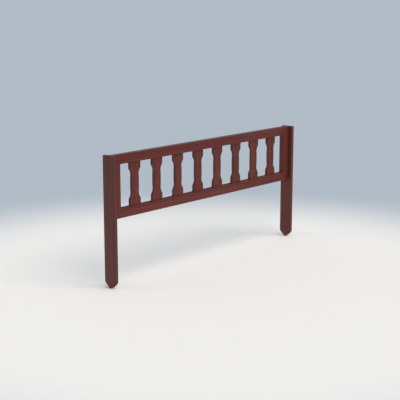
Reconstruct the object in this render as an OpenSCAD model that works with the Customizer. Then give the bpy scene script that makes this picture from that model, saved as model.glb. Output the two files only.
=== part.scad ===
// One bay of a low timber fence: a mitred frame of shaped balusters between two pointed posts.
// X runs along the fence, Y across it, Z up. The origin lies on the outer face of the left post,
// at its centre line and at ground level.

/* [Panel] */
// Length of the panel frame, over both stiles
panel_length = 1800; // [1200:50:2400]
// Height of the panel frame, over both rails
panel_height = 400; // [340:10:900]

/* [Frame members] */
// Face width of the rails and stiles
member_width = 60; // [40:1:80]
// Thickness of the rails and stiles, across the fence
member_thickness = 40; // [30:1:60]
// Depth of the groove along each rail that the balusters stand in
groove_depth = 10; // [6:1:16]

/* [Balusters] */
// Width of a baluster at its heads
baluster_width = 90; // [60:1:120]
// Thickness of a baluster
baluster_thickness = 20; // [12:1:26]
// Distance from one baluster's centre line to the next
baluster_pitch = 200; // [130:5:300]
// Straight edge of each head that shows beside its rail
head_height = 43; // [20:1:48]
// How far the neck between the heads is set in from the edge
neck_inset = 15; // [8:1:20]
// Radius of the scallops between the heads and the neck
scallop_radius = 58; // [40:1:64]
// How much deeper than the neck the scallops are cut
scallop_dip = 2; // [1:0.5:4]

/* [Posts] */
// Width of the post boards, across the fence
post_width = 95; // [70:1:140]
// Thickness of the post boards, along the fence
post_thickness = 25; // [18:1:40]
// Height of the bottom rail above the ground
ground_clearance = 140; // [40:10:300]
// Depth of the posts in the ground, point included
ground_depth = 300; // [200:10:500]
// Height of the pointed end
point_height = 41; // [30:1:60]
// Radius of the two rounded flanks of the point
point_radius = 117; // [80:1:200]

/* [Fits] */
// Clearance between a baluster and each side of its groove
groove_clearance = 0.2; // [0.1:0.1:0.5]
// Clearance over a baluster's top end, which it needs to swell
swelling_gap = 0.5; // [0.2:0.1:0.9]

/* [Hidden] */
timber = [0.37, 0.22, 0.20];
arc_sides = 96;

panel_left = post_thickness;
panel_right = panel_left + panel_length;
panel_bottom = ground_clearance;
panel_top = panel_bottom + panel_height;

groove_width = baluster_thickness + 2 * groove_clearance;
groove_floor = member_width - groove_depth;
opening_length = panel_length - 2 * member_width;

baluster_length = panel_height - 2 * groove_floor - swelling_gap;
baluster_count = floor((opening_length - baluster_width) / baluster_pitch) + 1;
first_baluster = (panel_left + panel_right - (baluster_count - 1) * baluster_pitch) / 2;
baluster_foot = panel_bottom + groove_floor;

// The scallop's centre lies this far outside the head's edge, and the arc meets the edge half a chord
// from its deepest point.
scallop_offset = scallop_radius - neck_inset - scallop_dip;
scallop_half_chord = sqrt(scallop_radius ^ 2 - scallop_offset ^ 2);
scallop_height = groove_depth + head_height + scallop_half_chord;

post_length = ground_depth + panel_top;

// Each flank of the point is an arc over the chord from a shoulder of the board to the tip. Its centre is
// measured from the middle of the board, level with the shoulders.
flank_chord = norm([post_width / 2, point_height]);
flank_reach = sqrt(point_radius ^ 2 - flank_chord ^ 2 / 4);
flank_centre = [
    post_width / 4 - flank_reach * point_height / flank_chord,
    -point_height / 2 + flank_reach * post_width / 2 / flank_chord
];

// A frame member lying along +X, with its long outer edge at z = 0 and both ends mitred to 45 degrees.
module frame_member(length) {
    color(timber)
        translate([0, member_thickness / 2, 0])
            rotate([90, 0, 0])
                linear_extrude(member_thickness)
                    polygon([
                        [0, 0],
                        [length, 0],
                        [length - member_width, member_width],
                        [member_width, member_width]
                    ]);
}

// A frame member with the groove for the balusters run out through both mitres.
module rail() {
    color(timber)
        difference() {
            frame_member(panel_length);
            translate([0, -groove_width / 2, groove_floor])
                cube([panel_length, groove_width, member_width]);
        }
}

module bottom_rail() {
    translate([panel_left, 0, panel_bottom])
        rail();
}

module top_rail() {
    translate([panel_left, 0, panel_top])
        mirror([0, 0, 1])
            rail();
}

// A stile standing on the panel's lower corner, with its inner edge facing -X.
module stile() {
    rotate([0, -90, 0])
        frame_member(panel_height);
}

module left_stile() {
    translate([panel_left, 0, panel_bottom])
        mirror([1, 0, 0])
            stile();
}

module right_stile() {
    translate([panel_right, 0, panel_bottom])
        stile();
}

// What the +X edge of a baluster loses: the neck's recess and a scallop at each end of it.
module edge_cut() {
    translate([baluster_width / 2 - neck_inset, -baluster_thickness, scallop_height])
        cube([baluster_width, 2 * baluster_thickness, baluster_length - 2 * scallop_height]);
    for (height = [scallop_height, baluster_length - scallop_height])
        translate([baluster_width / 2 + scallop_offset, 0, height])
            rotate([90, 0, 0])
                cylinder(r = scallop_radius, h = 2 * baluster_thickness, center = true, $fn = arc_sides);
}

module baluster(number) {
    color(timber)
        translate([first_baluster + (number - 1) * baluster_pitch, 0, baluster_foot])
            difference() {
                translate([-baluster_width / 2, -baluster_thickness / 2, 0])
                    cube([baluster_width, baluster_thickness, baluster_length]);
                edge_cut();
                mirror([1, 0, 0])
                    edge_cut();
            }
}

// What the +Y half of a post loses beside its point, so that the flank curves in to the tip. Above the
// shoulder the arc already runs outside the board.
module flank_cut() {
    difference() {
        translate([-post_thickness, 0, -2 * point_height])
            cube([3 * post_thickness, post_width, 2 * point_height + flank_centre[1]]);
        translate([-2 * post_thickness, flank_centre[0], flank_centre[1]])
            rotate([0, 90, 0])
                cylinder(r = point_radius, h = 5 * post_thickness, $fn = arc_sides);
    }
}

// A post board with its tip in the ground and its outer face on x = 0.
module post() {
    color(timber)
        translate([0, 0, point_height - ground_depth])
            difference() {
                translate([0, -post_width / 2, -point_height])
                    cube([post_thickness, post_width, post_length]);
                flank_cut();
                mirror([0, 1, 0])
                    flank_cut();
            }
}

module left_post() {
    post();
}

module right_post() {
    translate([panel_right, 0, 0])
        post();
}

left_post();
right_post();
left_stile();
right_stile();
bottom_rail();
top_rail();
for (i = [1:baluster_count]) {
    baluster(i);
}
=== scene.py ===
import bmesh
import bpy
import math
import random
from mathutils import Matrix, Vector


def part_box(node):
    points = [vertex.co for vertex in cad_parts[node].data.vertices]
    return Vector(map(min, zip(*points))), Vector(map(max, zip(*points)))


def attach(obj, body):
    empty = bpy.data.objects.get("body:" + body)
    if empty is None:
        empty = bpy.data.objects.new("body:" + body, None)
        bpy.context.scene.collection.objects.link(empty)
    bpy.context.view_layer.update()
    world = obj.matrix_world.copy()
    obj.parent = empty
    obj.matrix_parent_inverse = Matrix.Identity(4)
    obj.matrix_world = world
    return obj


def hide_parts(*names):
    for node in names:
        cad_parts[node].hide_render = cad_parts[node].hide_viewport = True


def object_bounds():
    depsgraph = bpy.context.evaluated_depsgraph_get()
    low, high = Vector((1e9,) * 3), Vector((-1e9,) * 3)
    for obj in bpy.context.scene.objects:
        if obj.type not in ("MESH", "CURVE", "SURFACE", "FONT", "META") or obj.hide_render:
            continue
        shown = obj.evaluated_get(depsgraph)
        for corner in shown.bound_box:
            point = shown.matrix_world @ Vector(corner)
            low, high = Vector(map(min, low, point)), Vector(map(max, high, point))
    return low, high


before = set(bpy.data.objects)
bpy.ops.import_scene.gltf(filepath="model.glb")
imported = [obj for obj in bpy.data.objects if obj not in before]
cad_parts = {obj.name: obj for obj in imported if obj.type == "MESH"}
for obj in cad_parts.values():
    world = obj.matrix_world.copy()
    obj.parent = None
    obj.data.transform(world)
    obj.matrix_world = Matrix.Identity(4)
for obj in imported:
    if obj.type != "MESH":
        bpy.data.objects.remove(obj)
cadLow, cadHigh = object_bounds()
print("frame loaded with", len(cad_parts), "nodes")


def addNode(tree, kind, inputs=None, **settings):
    node = tree.nodes.new(kind)
    for name, value in settings.items():
        setattr(node, name, value)
    for name, value in (inputs or {}).items():
        if isinstance(value, bpy.types.NodeSocket):
            tree.links.new(value, node.inputs[name])
        else:
            node.inputs[name].default_value = value
    return node


def calc(tree, operation, *values):
    return addNode(tree, "ShaderNodeMath", dict(enumerate(values)), operation=operation).outputs[0]


def vectorCalc(tree, operation, *values):
    return addNode(tree, "ShaderNodeVectorMath", dict(enumerate(values)), operation=operation).outputs[0]


def rescale(tree, value, low, high, toLow=0.0, toHigh=1.0):
    inputs = {"Value": value, "From Min": low, "From Max": high, "To Min": toLow, "To Max": toHigh}
    return addNode(tree, "ShaderNodeMapRange", inputs, interpolation_type="SMOOTHSTEP").outputs["Result"]


def mixColour(tree, share, first, second, blend="MIX"):
    inputs = {0: share, 6: first, 7: second}  # the colour sockets of the Mix node
    return addNode(tree, "ShaderNodeMix", inputs, data_type="RGBA", blend_type=blend).outputs[2]


def readAttribute(tree, name, output="Fac"):
    return addNode(tree, "ShaderNodeAttribute", attribute_name=name).outputs[output]


# stained timber, sizes in metres
timber = {
    "deep": (0.064, 0.0110, 0.0080, 1.0),
    "red": (0.110, 0.0180, 0.0125, 1.0),
    "brown": (0.101, 0.0240, 0.0165, 1.0),
    "warm": (0.168, 0.0370, 0.0245, 1.0),
    "pore": (0.020, 0.0060, 0.0045, 1.0),
    "endStain": (0.72, 0.66, 0.66, 1.0),  # end grain drinks more stain
    "wornStain": (1.26, 1.34, 1.36, 1.0),  # rubbed edges hold less

    "redBands": (0.32, 0.68),  # lower values turn more of the bands red
    "deepTones": (0.10, 0.48),  # tones over which the deep stain gives way
    "warmTones": (0.50, 0.80),  # tones over which the warm stain takes over
    "streakRange": (0.34, 0.66),
    "streakShare": 0.42,  # the rest of the tone follows the fibres
    "boardShare": 0.08,  # how far the boards differ in tone

    "ringWidth": 0.0052,
    "ringWaver": 2.6,  # years by which the rings run ahead or behind
    "lateWood": 2.0,  # higher values narrow a ring's dark part
    "figure": 0.010,  # how far the rings wander along the board
    "ringShade": 0.34,
    "endRingShade": 0.45,  # added on end grain
    "endFacing": (0.45, 0.75),  # how squarely a face cuts the grain before it is end grain
    "poreRange": (0.62, 0.72),  # higher values leave fewer pores
    "poreShade": 0.60,

    "wornReach": 0.0040,  # in from an edge
    "leastReach": 0.0002,  # between the rubbed patches
    "wornRange": (0.42, 0.70),  # higher values leave fewer rubbed patches
    "wornFade": 0.8,  # higher values soften the patches
    "rimReach": 0.0030,  # between the rubbed patches stain gathers dark on the edges
    "rimShade": 0.30,
    "seamReach": 0.0022,  # dark line of stain beside a mitre
    "seamShade": 0.0,  # only the frame has mitres

    "roughness": (0.36, 0.54),
    "specular": 0.24,
    "relief": 0.0004,  # height of the bumps
    "reliefStrength": 0.55,
    "ringRelief": 0.30,
    "fibreRelief": 0.55,
    "poreRelief": 0.80,

    # each noise has its cells per metre across and along the grain, its detail and its roughness
    "wanderNoise": (7.0, 0.9, 1.0, 0.5),
    "waverNoise": (24.0, 0.5, 1.0, 0.5),
    "bandNoise": (20.0, 0.4, 2.0, 0.5),
    "streakNoise": (120.0, 0.9, 4.0, 0.66),
    "fibreNoise": (620.0, 9.0, 3.0, 0.6),
    "poreNoise": (1150.0, 36.0, 1.0, 0.5),
    "wornNoise": (90.0, 26.0, 4.0, 0.6),
}


def grainNoise(tree, grain, settings, output="Fac"):
    across, along, detail, roughness = settings
    placed = addNode(tree, "ShaderNodeMapping", {"Vector": grain, "Scale": (across, across, along)})
    inputs = {"Vector": placed.outputs[0], "Scale": 1.0, "Detail": detail, "Roughness": roughness}
    return addNode(tree, "ShaderNodeTexNoise", inputs).outputs[output]


def bendGrain(tree, grain, look):
    # the rings wander along the board
    noise = grainNoise(tree, grain, look["wanderNoise"], "Color")
    wander = vectorCalc(tree, "SUBTRACT", noise, (0.5, 0.5, 0.5))
    wander = vectorCalc(tree, "MULTIPLY", wander, (look["figure"],) * 3)
    return vectorCalc(tree, "ADD", grain, wander)


def makeRings(tree, bent, look):
    # growth rings round a pith that lies outside the board, from pale early wood to dark late wood
    flat = vectorCalc(tree, "MULTIPLY", bent, (1.0, 1.0, 0.0))
    radius = addNode(tree, "ShaderNodeVectorMath", {0: flat}, operation="LENGTH").outputs["Value"]
    waver = calc(tree, "MULTIPLY", grainNoise(tree, bent, look["waverNoise"]), look["ringWaver"])
    year = calc(tree, "MULTIPLY_ADD", radius, 1.0 / look["ringWidth"], waver)
    return calc(tree, "POWER", calc(tree, "FRACT", year), look["lateWood"])


def makeStain(tree, bent, streak, fibre, look):
    # red and brown lie in bands, the depth of the stain follows the streaks and fibres
    band = rescale(tree, grainNoise(tree, bent, look["bandNoise"]), *look["redBands"])
    hue = mixColour(tree, band, look["brown"], look["red"])
    tone = calc(tree, "MULTIPLY", fibre, 1.0 - look["streakShare"])
    tone = calc(tree, "MULTIPLY_ADD", streak, look["streakShare"], tone)
    board = calc(tree, "SUBTRACT", readAttribute(tree, "board"), 0.5)
    tone = calc(tree, "MULTIPLY_ADD", board, look["boardShare"], tone)
    colour = mixColour(tree, rescale(tree, tone, *look["deepTones"], 1.0, 0.0), hue, look["deep"])
    return mixColour(tree, rescale(tree, tone, *look["warmTones"]), colour, look["warm"])


def measureEdges(tree):
    # on a face one of the three margins is nothing, so the middle one is the way to the nearest edge
    margin = vectorCalc(tree, "ABSOLUTE", readAttribute(tree, "across", "Vector"))
    margin = vectorCalc(tree, "SUBTRACT", readAttribute(tree, "half", "Vector"), margin)
    margin = addNode(tree, "ShaderNodeSeparateXYZ", {0: margin}).outputs
    ends = addNode(tree, "ShaderNodeSeparateXYZ", {0: readAttribute(tree, "ends", "Vector")}).outputs
    toEnd = calc(tree, "MINIMUM", ends["X"], ends["Y"])
    larger = calc(tree, "MAXIMUM", margin["X"], margin["Y"])
    smaller = calc(tree, "MINIMUM", margin["X"], margin["Y"])
    return toEnd, calc(tree, "MAXIMUM", smaller, calc(tree, "MINIMUM", larger, toEnd))


def markEdges(tree, grain, colour, look):
    # a dark rim of stain, pale patches where hands and feet rub, and a dark seam at the mitres
    toEnd, toEdge = measureEdges(tree)
    patches = rescale(tree, grainNoise(tree, grain, look["wornNoise"]), *look["wornRange"])
    reach = calc(tree, "MAXIMUM", calc(tree, "MULTIPLY", patches, look["wornReach"]), look["leastReach"])
    worn = calc(tree, "SUBTRACT", 1.0, calc(tree, "DIVIDE", toEdge, reach))
    worn = calc(tree, "MAXIMUM", worn, calc(tree, "MULTIPLY", readAttribute(tree, "arris"), patches))
    seam = rescale(tree, toEnd, 0.0, look["seamReach"], look["seamShade"], 0.0)
    worn = calc(tree, "SUBTRACT", rescale(tree, worn, 0.0, look["wornFade"]), seam)
    rim = rescale(tree, toEdge, 0.0, look["rimReach"], look["rimShade"], 0.0)
    colour = mixColour(tree, rim, colour, look["pore"])
    colour = mixColour(tree, worn, colour, mixColour(tree, 1.0, colour, look["wornStain"], "MULTIPLY"))
    return mixColour(tree, seam, colour, look["pore"]), worn


def makeTimber(name, look):
    material = bpy.data.materials.new(name)
    material.use_nodes = True
    tree = material.node_tree
    shader = tree.nodes["Principled BSDF"]
    grain = readAttribute(tree, "grain", "Vector")
    endFace = rescale(tree, readAttribute(tree, "endGrain"), *look["endFacing"])

    bent = bendGrain(tree, grain, look)
    lateWood = makeRings(tree, bent, look)
    streak = rescale(tree, grainNoise(tree, bent, look["streakNoise"]), *look["streakRange"])
    fibre = grainNoise(tree, bent, look["fibreNoise"])
    pore = rescale(tree, grainNoise(tree, bent, look["poreNoise"]), *look["poreRange"])

    colour = makeStain(tree, bent, streak, fibre, look)
    ringShade = calc(tree, "MULTIPLY_ADD", endFace, look["endRingShade"], look["ringShade"])
    colour = mixColour(tree, calc(tree, "MULTIPLY", lateWood, ringShade), colour, look["deep"])
    colour = mixColour(tree, calc(tree, "MULTIPLY", pore, look["poreShade"]), colour, look["pore"])
    colour = mixColour(tree, endFace, colour, mixColour(tree, 1.0, colour, look["endStain"], "MULTIPLY"))
    colour, worn = markEdges(tree, grain, colour, look)
    tree.links.new(colour, shader.inputs["Base Color"])

    # pores, end grain and rubbed edges are duller than the stained face
    dull = calc(tree, "MULTIPLY", calc(tree, "ADD", pore, streak), 0.5)
    dull = calc(tree, "MAXIMUM", dull, calc(tree, "MAXIMUM", endFace, worn))
    tree.links.new(rescale(tree, dull, 0.0, 1.0, *look["roughness"]), shader.inputs["Roughness"])
    shader.inputs["Specular IOR Level"].default_value = look["specular"]

    height = calc(tree, "MULTIPLY", fibre, look["fibreRelief"])
    height = calc(tree, "MULTIPLY_ADD", lateWood, look["ringRelief"], height)
    height = calc(tree, "MULTIPLY_ADD", pore, -look["poreRelief"], height)
    inputs = {"Strength": look["reliefStrength"], "Distance": look["relief"], "Height": height}
    tree.links.new(addNode(tree, "ShaderNodeBump", inputs).outputs[0], shader.inputs["Normal"])
    return material


# the posts' stain is a little greyer and browner than the rest, painted light standing in for the cooler
# light on their broad faces
postTimberPaintedLight = {
    **timber,
    "deep": (0.065, 0.0150, 0.0114, 1.0),
    "brown": (0.102, 0.0290, 0.0206, 1.0),
    "redBands": (0.48, 0.95),
    "streakShare": 0.46,
}

frameTimber = {**timber, "redBands": (0.18, 0.56), "seamShade": 0.6}

timbers = {
    "post_timber": makeTimber("postTimberPaintedLight", postTimberPaintedLight),
    "frame_timber": makeTimber("frameTimber", frameTimber),
    "baluster_timber": makeTimber("balusterTimber", timber),
}
print("timber materials ready")


def linkPiece(name, mesh):
    piece = bpy.data.objects.new(name, mesh)
    bpy.context.scene.collection.objects.link(piece)
    return piece


def meshFrom(bm, name):
    mesh = bpy.data.meshes.new(name)
    bm.to_mesh(mesh)
    bm.free()
    return mesh


def plainMesh(piece):
    bpy.context.view_layer.update()
    return bpy.data.meshes.new_from_object(piece.evaluated_get(bpy.context.evaluated_depsgraph_get()))


def easeArrises(piece, arris):
    # the rounded faces take the second material index, which tells the timber where they are
    piece.data.polygons.foreach_set("use_smooth", [True] * len(piece.data.polygons))
    piece.data.materials.clear()
    piece.data.materials.append(None)
    piece.data.materials.append(None)
    rounding = piece.modifiers.new("arrises", "BEVEL")
    rounding.width = arris["width"]
    rounding.segments = arris["segments"]
    rounding.limit_method = arris["limit"]
    if "angle" in arris:
        rounding.angle_limit = math.radians(arris["angle"])
    rounding.material = 1
    piece.modifiers.new("shading", "WEIGHTED_NORMAL")
    finished = plainMesh(piece)
    piece.modifiers.clear()
    piece.data = finished


# every board is cut from its own place in a trunk, so it has its own pith, rings and tone
trunk = {
    "turn": (8, 40),  # degrees between the board's breadth and the way to the pith
    "away": (0.18, 0.34),  # metres from the board's middle to the pith
    "height": (0.0, 9.0),  # metres up the trunk
}


def giveGrain(piece, order, seed, wood, endsOf):
    # order names the axes of the board's breadth, thickness and length
    cut = random.Random(seed)
    mesh = piece.data
    points = [v.co for v in mesh.vertices]
    low = Vector([min(p[i] for p in points) for i in range(3)])
    high = Vector([max(p[i] for p in points) for i in range(3)])
    turn = math.radians(cut.uniform(*trunk["turn"])) * cut.choice((-1, 1))
    pith = Vector((math.cos(turn), math.sin(turn), 0)) * cut.uniform(*trunk["away"])
    pith.z = cut.uniform(*trunk["height"])
    axes = ["XYZ".index(letter) for letter in order]
    local = [Vector([(p - (low + high) / 2)[i] for i in axes]) for p in points]

    def store(name, values, kind="FLOAT_VECTOR", domain="POINT"):
        layer = mesh.attributes.new(name, kind, domain)
        flat = values if kind == "FLOAT" else [n for v in values for n in v]
        layer.data.foreach_set("value" if kind == "FLOAT" else "vector", flat)

    store("grain", [p + pith for p in local])
    store("across", [(p.x, p.y, 0) for p in local])
    store("half", [(abs(p.x), abs(p.y), 0) for p in local])
    store("ends", [(*endsOf(p), 0) for p in points])
    store("board", [cut.random()] * len(points), "FLOAT")
    store("endGrain", [abs(p.normal[axes[2]]) for p in mesh.polygons], "FLOAT", "FACE")
    store("arris", [float(p.material_index) for p in mesh.polygons], "FLOAT", "FACE")
    mesh.polygons.foreach_set("material_index", [0] * len(mesh.polygons))
    mesh.materials.clear()
    mesh.materials.append(wood)


def standFor(piece, node):
    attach(piece, "root")
    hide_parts(node)


# the frame's rails and stiles
member = {
    "grooveClearance": 0.0002,  # each side of a baluster
    "arris": {"width": 0.0012, "segments": 3, "limit": "WEIGHT"},
    "mitreShare": 0.30,  # how much of the arrises' width the mitres' edges get
    "grooveShare": 0.40,
    "grainSeeds": {"bottom_rail": 15, "top_rail": 12, "left_stile": 22, "right_stile": 46},
}


def memberAxes(kind, low, high):
    # the outer corner that a member starts from, the way it runs and the way to its inner edge
    axes = {
        "bottom_rail": ((low.x, 0, low.z), (1, 0, 0), (0, 0, 1)),
        "top_rail": ((low.x, 0, high.z), (1, 0, 0), (0, 0, -1)),
        "left_stile": ((low.x, 0, low.z), (0, 0, 1), (1, 0, 0)),
        "right_stile": ((high.x, 0, low.z), (0, 0, 1), (-1, 0, 0)),
    }
    return [Vector(axis) for axis in axes[kind]]


def memberSection(half, width, grooved):
    # the section's corners: how far across, how far inward, and how round the edge there is
    inner = [(half, width, 1.0), (-half, width, 1.0)]
    if grooved:
        boardLow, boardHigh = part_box("baluster_1")
        side = boardHigh.y + member["grooveClearance"]
        bed = boardLow.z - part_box("bottom_rail")[0].z  # from the rail's outer edge
        share = member["grooveShare"]
        inner[1:1] = [(side, width, share), (side, bed, 0.0), (-side, bed, 0.0), (-side, width, share)]
    return [(-half, 0.0, 1.0), (half, 0.0, 1.0), *inner]


def buildMember(kind, seed):
    low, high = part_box(kind)
    isRail = kind.endswith("rail")
    corner, along, inward = memberAxes(kind, low, high)
    length = abs((high - low).dot(along))
    width = abs((high - low).dot(inward))
    section = memberSection(high.y, width, isRail)

    def place(distance, across, up):
        return corner + along * distance + Vector((0, across, 0)) + inward * up

    def toMitres(point):
        # how far a point lies from the member's two mitres
        distance = (point - corner).dot(along)
        up = (point - corner).dot(inward)
        return (distance - up) / math.sqrt(2), (length - distance - up) / math.sqrt(2)

    # two mitred ends, joined by a face for each side of the section
    bm = bmesh.new()
    weight = bm.edges.layers.float.new("bevel_weight_edge")
    start = [bm.verts.new(place(up, across, up)) for across, up, _ in section]
    end = [bm.verts.new(place(length - up, across, up)) for across, up, _ in section]
    bm.faces.new(start)
    bm.faces.new(end)
    for i in range(len(section)):
        bm.faces.new((start[i - 1], start[i], end[i], end[i - 1]))
    for edge in bm.edges:
        edge[weight] = member["mitreShare"]
    for first, last, (across, up, share) in zip(start, end, section):
        bm.edges.get((first, last))[weight] = share
    bmesh.ops.recalc_face_normals(bm, faces=bm.faces)

    piece = linkPiece(kind + "_timber", meshFrom(bm, kind))
    easeArrises(piece, member["arris"])
    giveGrain(piece, "ZYX" if isRail else "XYZ", seed, timbers["frame_timber"], toMitres)
    standFor(piece, kind)


for kind, seed in member["grainSeeds"].items():
    buildMember(kind, seed)
print("frame members made")


post = {
    "pointHeight": 0.041,
    "flankRadius": 0.117,
    "flankSteps": 20,
    "arris": {"width": 0.0014, "segments": 3, "limit": "WEIGHT"},
    "pointShare": 0.5,  # how much of the arrises' width the tip's edge gets
    "grainSeeds": {"left_post": 32, "right_post": 34},
}


def postRows(halfWidth, bottom, top):
    # half width and height of each row, from the square top down the arced flanks, but not the tip
    drop = post["pointHeight"]
    radius = post["flankRadius"]
    steps = post["flankSteps"]
    chord = math.hypot(halfWidth, drop)
    reach = math.sqrt(radius ** 2 - chord ** 2 / 4)
    centre = (halfWidth / 2 - reach * drop / chord, bottom + drop / 2 + reach * halfWidth / chord)
    shoulder = math.atan2(bottom + drop - centre[1], halfWidth - centre[0])
    tip = math.atan2(bottom - centre[1], -centre[0])
    angles = [shoulder + (tip - shoulder) * i / steps for i in range(steps)]
    flank = [(centre[0] + radius * math.cos(a), centre[1] + radius * math.sin(a)) for a in angles]
    return [(halfWidth, top), *flank]


def buildPost(kind, seed):
    low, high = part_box(kind)
    bm = bmesh.new()
    weight = bm.edges.layers.float.new("bevel_weight_edge")
    # rings of four corners from the top down, closed by the ridge of the tip
    rings = []
    for half, height in postRows(high.y, low.z, high.z):
        corners = ((low.x, half), (low.x, -half), (high.x, -half), (high.x, half))
        rings.append([bm.verts.new((x, y, height)) for x, y in corners])
    tip = [bm.verts.new((low.x, 0, low.z)), bm.verts.new((high.x, 0, low.z))]
    rings.append([tip[0], tip[0], tip[1], tip[1]])

    bm.faces.new(rings[0])
    for above, below in zip(rings, rings[1:]):
        for i in range(4):
            around = (above[i - 1], above[i], below[i], below[i - 1])
            bm.faces.new(dict.fromkeys(around))  # a corner that two rows share counts once
    for edge in bm.edges:
        upright = edge.verts[0].co.z != edge.verts[1].co.z
        atTop = edge.verts[0].co.z == edge.verts[1].co.z == high.z
        edge[weight] = 1.0 if upright or atTop else 0.0
    bm.edges.get(tip)[weight] = post["pointShare"]
    bmesh.ops.recalc_face_normals(bm, faces=bm.faces)

    piece = linkPiece(kind + "_board", meshFrom(bm, kind))
    easeArrises(piece, post["arris"])
    # only the square top counts as an end, the pointed one is put a metre away
    giveGrain(piece, "YXZ", seed, timbers["post_timber"], lambda p: (1.0, high.z - p.z))
    standFor(piece, kind)


for kind, seed in post["grainSeeds"].items():
    buildPost(kind, seed)
print("posts made")


baluster = {
    "head": 0.043,  # straight edge that shows beside the rail
    "neckInset": 0.015,
    "scallopRadius": 0.058,
    "scallopDip": 0.002,
    "arcSteps": 24,
    "arris": {"width": 0.0010, "segments": 3, "limit": "ANGLE", "angle": 35},
    "grainSeeds": (62, 52, 54, 57, 56, 60, 53, 78),
}


def balusterRowTree(sizes):
    # one board with a ring of points at each height, its edges moved to the outline, then set out in a row
    tree = bpy.data.node_groups.new("balusterRow", "GeometryNodeTree")
    for name, value in sizes.items():
        kind = "NodeSocketInt" if isinstance(value, int) else "NodeSocketFloat"
        tree.interface.new_socket(name=name, in_out="INPUT", socket_type=kind)
    tree.interface.new_socket(name="Timber", in_out="INPUT", socket_type="NodeSocketMaterial")
    tree.interface.new_socket(name="Row", in_out="OUTPUT", socket_type="NodeSocketGeometry")
    given = addNode(tree, "NodeGroupInput").outputs

    def do(operation, *values):
        return calc(tree, operation, *values)

    # the scallop's centre stands outside the edge; its arc runs from the edge to the neck's line
    radius = given["Scallop Radius"]
    offset = do("SUBTRACT", do("SUBTRACT", radius, given["Neck Inset"]), given["Scallop Dip"])
    firstAngle = do("MULTIPLY", do("ARCCOSINE", do("DIVIDE", offset, radius)), -1.0)
    lastAngle = do("ARCCOSINE", do("DIVIDE", do("ADD", offset, given["Neck Inset"]), radius))
    centreHeight = do("SUBTRACT", given["Head"], do("MULTIPLY", radius, do("SINE", firstAngle)))

    # each end has a row at the very end and the rows of its scallop
    rows = do("MULTIPLY", do("ADD", given["Arc Steps"], 2.0), 2.0)
    inputs = {"Size": (1, 1, 1), "Vertices X": 2, "Vertices Y": 2, "Vertices Z": rows}
    board = addNode(tree, "GeometryNodeMeshCube", inputs).outputs["Mesh"]
    position = addNode(tree, "GeometryNodeInputPosition").outputs[0]
    where = addNode(tree, "ShaderNodeSeparateXYZ", {0: position}).outputs
    lastRow = do("SUBTRACT", rows, 1.0)
    row = do("ROUND", do("MULTIPLY", do("ADD", where["Z"], 0.5), lastRow))
    fromEnd = do("MINIMUM", row, do("SUBTRACT", lastRow, row))
    alongArc = do("DIVIDE", do("MAXIMUM", do("SUBTRACT", fromEnd, 1.0), 0.0), given["Arc Steps"])
    angle = do("MULTIPLY_ADD", do("SUBTRACT", lastAngle, firstAngle), alongArc, firstAngle)
    recess = do("SUBTRACT", do("MULTIPLY", radius, do("COSINE", angle)), offset)
    halfWidth = do("SUBTRACT", do("DIVIDE", given["Width"], 2.0), recess)
    height = do("MULTIPLY_ADD", radius, do("SINE", angle), centreHeight)
    height = do("MULTIPLY", height, do("MINIMUM", fromEnd, 1.0))

    # the upper half mirrors the lower one
    upper = do("GREATER_THAN", row, do("DIVIDE", lastRow, 2.0))
    mirrored = do("MULTIPLY", do("SUBTRACT", given["Length"], height), upper)
    height = do("MULTIPLY_ADD", height, do("SUBTRACT", 1.0, upper), mirrored)
    outline = addNode(tree, "ShaderNodeCombineXYZ", {
        "X": do("MULTIPLY", do("MULTIPLY", where["X"], 2.0), halfWidth),
        "Y": do("MULTIPLY", where["Y"], given["Thickness"]),
        "Z": height,
    }).outputs[0]
    shaped = addNode(tree, "GeometryNodeSetPosition", {"Geometry": board, "Position": outline}).outputs[0]

    first = addNode(tree, "ShaderNodeCombineXYZ", {"X": given["First"], "Z": given["Foot"]}).outputs[0]
    pitch = addNode(tree, "ShaderNodeCombineXYZ", {"X": given["Pitch"]}).outputs[0]
    inputs = {"Count": given["Count"], "Start Location": first, "Offset": pitch}
    places = addNode(tree, "GeometryNodeMeshLine", inputs).outputs[0]
    boards = addNode(tree, "GeometryNodeInstanceOnPoints", {"Points": places, "Instance": shaped}).outputs[0]
    solid = addNode(tree, "GeometryNodeRealizeInstances", {"Geometry": boards}).outputs[0]
    inputs = {"Geometry": solid, "Material": given["Timber"]}
    dressed = addNode(tree, "GeometryNodeSetMaterial", inputs).outputs[0]
    addNode(tree, "NodeGroupOutput", {"Row": dressed})
    return tree


def makeBalusterRow(sizes):
    tree = balusterRowTree(sizes)
    row = linkPiece("balusterRow", bpy.data.meshes.new("balusterRow"))
    maker = row.modifiers.new("row", "NODES")
    maker.node_group = tree
    inputs = [item for item in tree.interface.items_tree if item.in_out == "INPUT"]
    identifiers = {item.name: item.identifier for item in inputs}
    for name, value in sizes.items():
        maker[identifiers[name]] = value
    maker[identifiers["Timber"]] = timbers["baluster_timber"]
    made = plainMesh(row)
    bpy.data.objects.remove(row)
    return made


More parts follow.
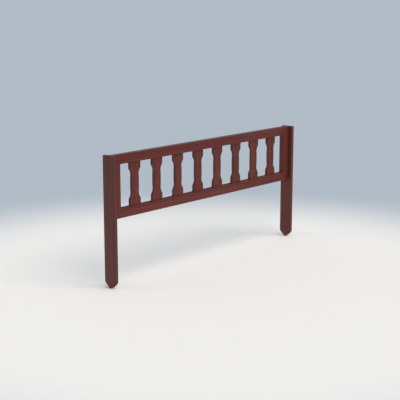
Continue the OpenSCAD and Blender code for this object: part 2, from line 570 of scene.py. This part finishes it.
def buildBalusters():
    names = sorted((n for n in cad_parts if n.startswith("baluster_")), key=lambda n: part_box(n)[0].x)
    low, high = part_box(names[0])
    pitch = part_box(names[1])[0].x - low.x
    row = makeBalusterRow({
        "Width": high.x - low.x,
        "Thickness": high.y - low.y,
        "Length": high.z - low.z,
        "Head": baluster["head"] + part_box("bottom_rail")[1].z - low.z,
        "Neck Inset": baluster["neckInset"],
        "Scallop Radius": baluster["scallopRadius"],
        "Scallop Dip": baluster["scallopDip"],
        "Arc Steps": baluster["arcSteps"],
        "Count": len(names),
        "First": (low.x + high.x) / 2,
        "Pitch": pitch,
        "Foot": low.z,
    })
    seeds = baluster["grainSeeds"]
    for number, name in enumerate(names):
        # each board of the row becomes a piece of its own
        low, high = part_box(name)
        middle = (low.x + high.x) / 2
        bm = bmesh.new()
        bm.from_mesh(row)
        others = [v for v in bm.verts if abs(v.co.x - middle) > pitch / 2]
        bmesh.ops.delete(bm, geom=others, context="VERTS")
        piece = linkPiece(name + "_board", meshFrom(bm, name))
        easeArrises(piece, baluster["arris"])
        seed = seeds[number % len(seeds)]
        giveGrain(piece, "XYZ", seed, timbers["baluster_timber"], lambda p: (p.z - low.z, high.z - p.z))
        standFor(piece, name)


buildBalusters()
print("balusters made")


# a painted pool of light: the floor is near white round the fence and fades to a painted pale blue shade
# that meets the sky
stage = {
    "reach": 120.0,  # from the origin to the floor's edges
    "floorNear": (0.850, 0.845, 0.830, 1.0),
    "floorPaintedShade": (0.4356, 0.4920, 0.5548, 1.0),  # as bright as the sky where they meet
    "litPoolShift": (-0.50, -0.45, 0.0),  # from the fence's middle to the pool's
    "litPoolFade": (1.6, 3.2),  # metres from there
    "sky": (0.441, 0.500, 0.567, 1.0),
}

# two suns, each with the way to it and the breadth of its disc in degrees
lamps = {
    "key": {"from": (0.0, -0.62, 0.79), "colour": (1.0, 0.90, 0.79), "energy": 2.20, "spread": 50},
    "kicker": {"from": (-0.72, 0.63, 0.12), "colour": (1.0, 1.0, 1.0), "energy": 0.43, "spread": 40},
}

view = {
    "place": (-4.093, -4.346, 1.520),
    "heading": 41.33,  # degrees from +X towards +Y
    "dip": 11.91,
    "lens": 89.08,  # millimetres, as the sensor
    "sensor": 36.0,
}


def paintFloor():
    material = bpy.data.materials.new("paleFloor")
    material.use_nodes = True
    tree = material.node_tree
    shader = tree.nodes["Principled BSDF"]
    middle = (cadLow + cadHigh) / 2 + Vector(stage["litPoolShift"])
    middle.z = cadLow.z
    place = addNode(tree, "ShaderNodeTexCoord").outputs["Object"]
    local = vectorCalc(tree, "SUBTRACT", place, middle)
    away = addNode(tree, "ShaderNodeVectorMath", {0: local}, operation="LENGTH").outputs["Value"]
    # painted pool of light round the fence, painted shade beyond it
    colour = mixColour(tree, rescale(tree, away, *stage["litPoolFade"]), stage["floorNear"], stage["floorPaintedShade"])
    # only camera and glossy rays see the painted pool of light and painted shade, what the floor throws back
    # on the fence comes from a floor that is pale all over
    ray = addNode(tree, "ShaderNodeLightPath").outputs
    seen = calc(tree, "MAXIMUM", ray["Is Camera Ray"], ray["Is Glossy Ray"])
    seen = calc(tree, "MAXIMUM", seen, ray["Is Transmission Ray"])
    colour = mixColour(tree, seen, stage["floorNear"], colour)
    tree.links.new(colour, shader.inputs["Base Color"])
    shader.inputs["Specular IOR Level"].default_value = 0.0
    return material


def buildStage():
    reach = stage["reach"]
    bm = bmesh.new()
    corners = ((-reach, -reach), (reach, -reach), (reach, reach), (-reach, reach))
    bm.faces.new([bm.verts.new((x, y, cadLow.z)) for x, y in corners])
    floor = linkPiece("floor", meshFrom(bm, "floor"))
    floor.data.materials.append(paintFloor())

    world = bpy.data.worlds.new("studio")
    bpy.context.scene.world = world
    world.use_nodes = True
    world.node_tree.nodes["Background"].inputs["Color"].default_value = stage["sky"]


def buildLamps():
    for name, look in lamps.items():
        light = bpy.data.lights.new(name, "SUN")
        light.color = look["colour"]
        light.energy = look["energy"]
        light.angle = math.radians(look["spread"])
        lamp = bpy.data.objects.new(name, light)
        bpy.context.scene.collection.objects.link(lamp)
        lamp.rotation_mode = "QUATERNION"
        lamp.rotation_quaternion = Vector(look["from"]).to_track_quat("Z", "Y")


def buildCamera():
    data = bpy.data.cameras.new("camera")
    data.lens = view["lens"]
    data.sensor_width = view["sensor"]
    camera = bpy.data.objects.new("camera", data)
    bpy.context.scene.collection.objects.link(camera)
    camera.location = view["place"]
    camera.rotation_euler = (math.radians(90 - view["dip"]), 0, math.radians(view["heading"] - 90))
    bpy.context.scene.camera = camera


buildStage()
buildLamps()
buildCamera()
bpy.context.scene.view_settings.view_transform = "Standard"
print("stage, light and camera set")
